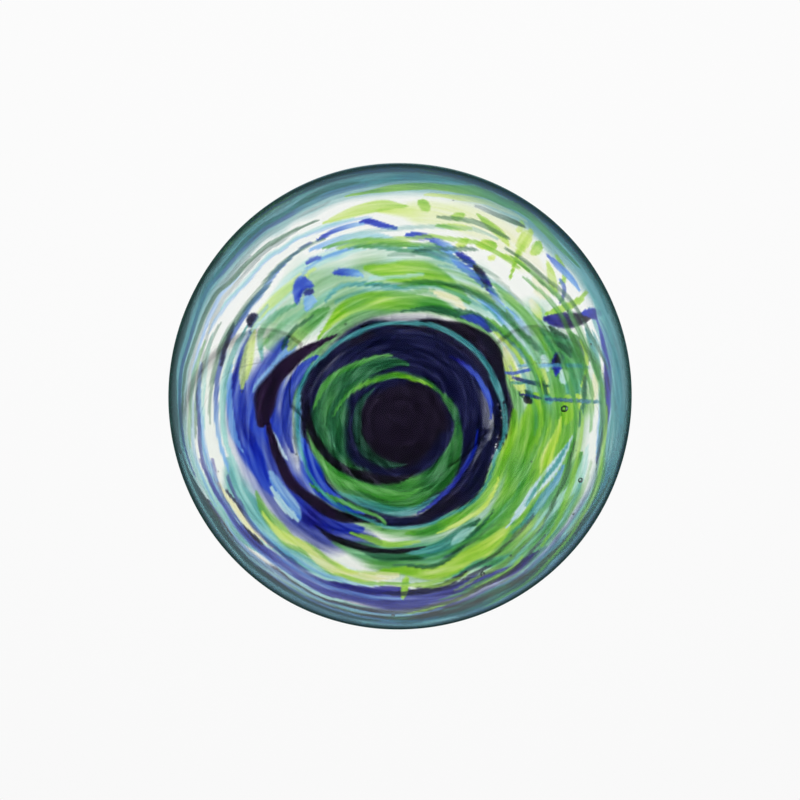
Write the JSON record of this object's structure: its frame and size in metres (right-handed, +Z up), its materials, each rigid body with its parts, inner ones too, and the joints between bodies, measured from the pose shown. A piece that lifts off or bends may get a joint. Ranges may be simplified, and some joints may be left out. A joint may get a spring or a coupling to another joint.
{
  "type": "hand blown art glass vase",
  "caption": "Heavy hand blown round vase in clear cased glass, with swirled cobalt, teal and lime colours under the body and a wide, flared, fire-polished mouth.",
  "frame": {"origin": "centre of the foot's flat face, on the surface the vase stands on", "axes": "+Z up along the axis of the vase, from the foot to the lip; -Y is the front"},
  "size_m": [0.116, 0.116, 0.15],
  "materials": {
    "clear_casing": "polished clear soda-lime glass with a faint green cast",
    "clear_lining": "clear glass, smooth from the blow",
    "clear_lip": "fire-polished clear glass",
    "clear_bed": "clear glass between the colours",
    "purple_black": "dense purple-black transparent glass",
    "lime": "lime green transparent glass, streaky",
    "navy": "dense navy transparent glass",
    "maroon": "dark maroon-purple transparent glass",
    "cobalt": "cobalt blue transparent glass, streaky",
    "teal": "teal transparent glass, streaky",
    "yellow_frit": "pale yellow opal frit",
    "blue_shard": "cobalt shards with hard edges"
  },
  "bodies": {
    "root": {"outer_casing": "clear_casing", "neck_casing": "clear_casing", "inner_lining": "clear_lining", "neck_lining": "clear_lining", "rolled_lip": "clear_lip", "clear_bed": "clear_bed", "purple_core": "purple_black", "lime_ring": "lime", "navy_ring": "navy", "maroon_blade": "maroon", "cobalt_swirl": "cobalt", "teal_swirl": "teal", "lime_swirl": "lime", "yellow_frit": "yellow_frit", "blue_shards": "blue_shard", "navy_threads": "navy", "cobalt_ribbons": "cobalt", "teal_ribbons": "teal", "lime_ribbons": "lime"}
  },
  "joints": []
}
